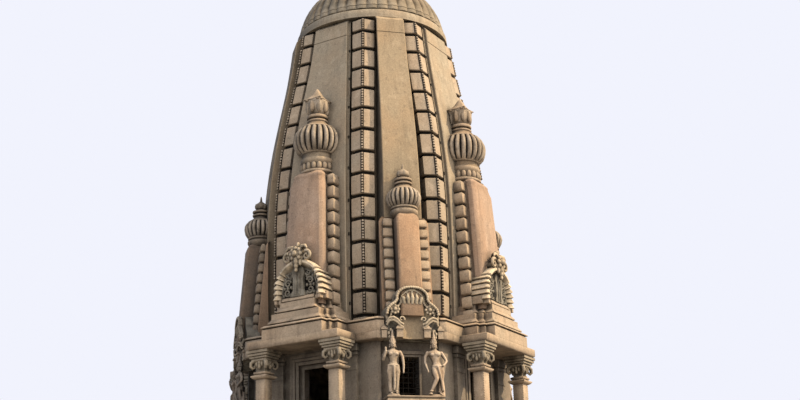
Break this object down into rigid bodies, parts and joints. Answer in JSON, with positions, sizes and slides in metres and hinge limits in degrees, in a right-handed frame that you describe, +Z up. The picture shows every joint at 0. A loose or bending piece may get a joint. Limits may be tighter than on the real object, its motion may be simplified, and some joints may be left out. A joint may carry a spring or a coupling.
{
  "type": "temple tower",
  "caption": "Stone temple tower: walled ground storey, columned upper storey with four porches and corner shrines, tall curved ribbed spire, ribbed crown cushion and pot finial.",
  "frame": {"origin": "centre of the tower's plan at ground level, on the underside of the plinth", "axes": "+Z up along the tower's axis, the entrance steps and front porch towards -Y, +X to the right seen from the front"},
  "size_m": [8.76, 10.2604, 22.9],
  "materials": {
    "stone": "matt dressed stone, weathered",
    "plaster": "matt ochre render, stained",
    "rib_stone": "matt grey-beige stone with dark joints",
    "dark_stone": "matt dark weathered stone"
  },
  "bodies": {
    "root": {"column_back_a": "stone", "column_back_b": "stone", "column_front_a": "stone", "column_front_b": "stone", "column_left_a": "stone", "column_left_b": "stone", "column_right_a": "stone", "column_right_b": "stone", "corner_shrine_back_left": "plaster", "corner_shrine_back_right": "plaster", "corner_shrine_front_left": "plaster", "corner_shrine_front_right": "plaster", "crown_neck": "plaster", "crown_ring": "stone", "door_wall_back": "plaster", "door_wall_front": "plaster", "door_wall_left": "plaster", "door_wall_right": "plaster", "entablature": "stone", "entrance_steps": "stone", "figure_ledge_back_left": "stone", "figure_ledge_back_right": "stone", "figure_ledge_front_left": "stone", "figure_ledge_front_right": "stone", "ground_wall_back": "plaster", "ground_wall_front": "plaster", "ground_wall_left": "plaster", "ground_wall_right": "plaster", "plinth": "stone", "porch_turret_back": "plaster", "porch_turret_front": "plaster", "porch_turret_left": "plaster", "porch_turret_right": "plaster", "pot_finial": "dark_stone", "rib_back_left_a": "rib_stone", "rib_back_left_b": "rib_stone", "rib_back_right_a": "rib_stone", "rib_back_right_b": "rib_stone", "rib_front_left_a": "rib_stone", "rib_front_left_b": "rib_stone", "rib_front_right_a": "rib_stone", "rib_front_right_b": "rib_stone", "ribbed_crown_cushion": "dark_stone", "spire_panel_back": "plaster", "spire_panel_back_left": "plaster", "spire_panel_back_right": "plaster", "spire_panel_front": "plaster", "spire_panel_front_left": "plaster", "spire_panel_front_right": "plaster", "spire_panel_left": "plaster", "spire_panel_right": "plaster", "upper_floor": "stone", "window_wall_back_left": "plaster", "window_wall_back_right": "plaster", "window_wall_front_left": "plaster", "window_wall_front_right": "plaster"}
  },
  "joints": []
}
